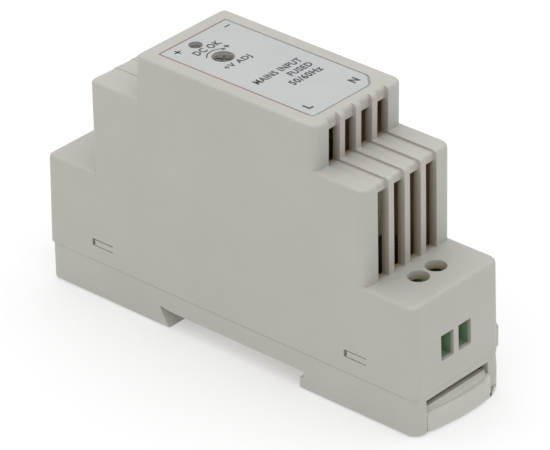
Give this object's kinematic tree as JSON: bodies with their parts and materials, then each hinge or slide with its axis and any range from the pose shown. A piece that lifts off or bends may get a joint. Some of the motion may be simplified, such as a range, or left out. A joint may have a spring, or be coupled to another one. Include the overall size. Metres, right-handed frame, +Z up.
{
  "type": "din rail power supply",
  "caption": "Slim stepped DIN rail power supply: vented plastic cover on a rail base with sprung latch, front label with status light and voltage trimmer, screw terminals at both ends.",
  "frame": {"origin": "centre of the overall footprint, at the level of the base's underside", "axes": "+X along the case towards the input terminals and the rail latch, +Y across its width, +Z up from the rail to the front label"},
  "size_m": [0.093, 0.0249, 0.056],
  "materials": {
    "housing_plastic": "fine matte moulded, warm light grey",
    "latch_plastic": "fine matte moulded, light grey",
    "label_film": "satin printed film, pale bluish grey",
    "terminal_plastic": "satin green",
    "plated_steel": "zinc plated",
    "plated_brass": "nickel plated",
    "spring_steel": "bright drawn wire",
    "circuit_board": "lacquered glass fibre laminate",
    "black_plastic": "moulded epoxy",
    "capacitor_sleeve": "shrink sleeve on an aluminium can",
    "ferrite": "dull sintered",
    "winding_tape": "polyester tape",
    "enamelled_copper": "enamelled wire",
    "film_box": "moulded box",
    "disc_coating": "dipped coating",
    "thermistor_coating": "dipped coating",
    "sheet_aluminium": "rolled sheet",
    "led_lens": "clear tinted resin, unlit",
    "insulation": "polyester sheet",
    "trimmer_plastic": "moulded",
    "rotor_plastic": "moulded"
  },
  "bodies": {
    "case": {"cover": "housing_plastic", "front_label": "label_film", "base": "housing_plastic", "latch_spring": "spring_steel", "main_board": "circuit_board", "front_board": "circuit_board", "riser_board": "circuit_board", "insulation_sheet": "insulation", "status_led": "led_lens", "trimmer_body": "trimmer_plastic", "transformer_core": "ferrite", "transformer_bobbin": "black_plastic", "transformer_winding": "winding_tape", "bulk_capacitor": "capacitor_sleeve", "bridge_rectifier": "black_plastic", "x_capacitor": "film_box", "line_choke_core": "ferrite", "line_choke_winding": "enamelled_copper", "input_fuse": "black_plastic", "inrush_thermistor": "thermistor_coating", "switch_transistor": "black_plastic", "transistor_heatsink": "sheet_aluminium", "output_capacitor_a": "capacitor_sleeve", "output_capacitor_b": "capacitor_sleeve", "output_choke": "ferrite", "output_diode": "black_plastic", "output_heatsink": "sheet_aluminium", "optocoupler": "black_plastic", "controller_chip": "black_plastic", "y_capacitor": "disc_coating", "input_terminal_block": "terminal_plastic", "input_contact_line": "plated_brass", "input_contact_neutral": "plated_brass", "output_terminal_block": "terminal_plastic", "output_contact_positive": "plated_brass", "output_contact_negative": "plated_brass"},
    "latch": {"rail_latch": "latch_plastic"},
    "input_screw_line": {"input_screw_line": "plated_steel"},
    "input_clamp_line": {"input_clamp_line": "plated_brass"},
    "input_screw_neutral": {"input_screw_neutral": "plated_steel"},
    "input_clamp_neutral": {"input_clamp_neutral": "plated_brass"},
    "output_screw_positive": {"output_screw_positive": "plated_steel"},
    "output_clamp_positive": {"output_clamp_positive": "plated_brass"},
    "output_screw_negative": {"output_screw_negative": "plated_steel"},
    "output_clamp_negative": {"output_clamp_negative": "plated_brass"},
    "trimmer": {"trimmer_rotor": "rotor_plastic"}
  },
  "joints": [
    {"name": "latch_slide", "type": "slide", "parent": "case", "child": "latch", "axis": [1, 0, 0], "range_m": [0, 0.0035], "stiffness_N_per_m": 1500, "springref_m": -0.002, "deforming": ["latch_spring"]},
    {"name": "input_screw_line_turn", "type": "hinge", "parent": "case", "child": "input_screw_line", "pos_m": [0.03715, -0.0023, 0.023], "axis": [0, 0, -1], "range_deg": [0, 1621]},
    {"name": "input_clamp_line_rise", "type": "slide", "parent": "case", "child": "input_clamp_line", "axis": [0, 0, 1], "range_m": [0, 0.00225]},
    {"name": "input_screw_neutral_turn", "type": "hinge", "parent": "case", "child": "input_screw_neutral", "pos_m": [0.03715, 0.0026, 0.023], "axis": [0, 0, -1], "range_deg": [0, 1621]},
    {"name": "input_clamp_neutral_rise", "type": "slide", "parent": "case", "child": "input_clamp_neutral", "axis": [0, 0, 1], "range_m": [0, 0.00225]},
    {"name": "output_screw_positive_turn", "type": "hinge", "parent": "case", "child": "output_screw_positive", "pos_m": [-0.03895, -0.0023, 0.023], "axis": [0, 0, -1], "range_deg": [0, 1621]},
    {"name": "output_clamp_positive_rise", "type": "slide", "parent": "case", "child": "output_clamp_positive", "axis": [0, 0, 1], "range_m": [0, 0.00225]},
    {"name": "output_screw_negative_turn", "type": "hinge", "parent": "case", "child": "output_screw_negative", "pos_m": [-0.03895, 0.0026, 0.023], "axis": [0, 0, -1], "range_deg": [0, 1621]},
    {"name": "output_clamp_negative_rise", "type": "slide", "parent": "case", "child": "output_clamp_negative", "axis": [0, 0, 1], "range_m": [0, 0.00225]},
    {"name": "trimmer_turn", "type": "hinge", "parent": "case", "child": "trimmer", "pos_m": [-0.00925, -0.0023, 0.0533], "axis": [0, 0, -1], "range_deg": [-120, 120]}
  ],
  "couplings": [
    {"joint": "input_screw_line_turn", "follows": "input_clamp_line_rise", "rad_per_m": 12566},
    {"joint": "input_screw_neutral_turn", "follows": "input_clamp_neutral_rise", "rad_per_m": 12566},
    {"joint": "output_screw_positive_turn", "follows": "output_clamp_positive_rise", "rad_per_m": 12566},
    {"joint": "output_screw_negative_turn", "follows": "output_clamp_negative_rise", "rad_per_m": 12566}
  ]
}
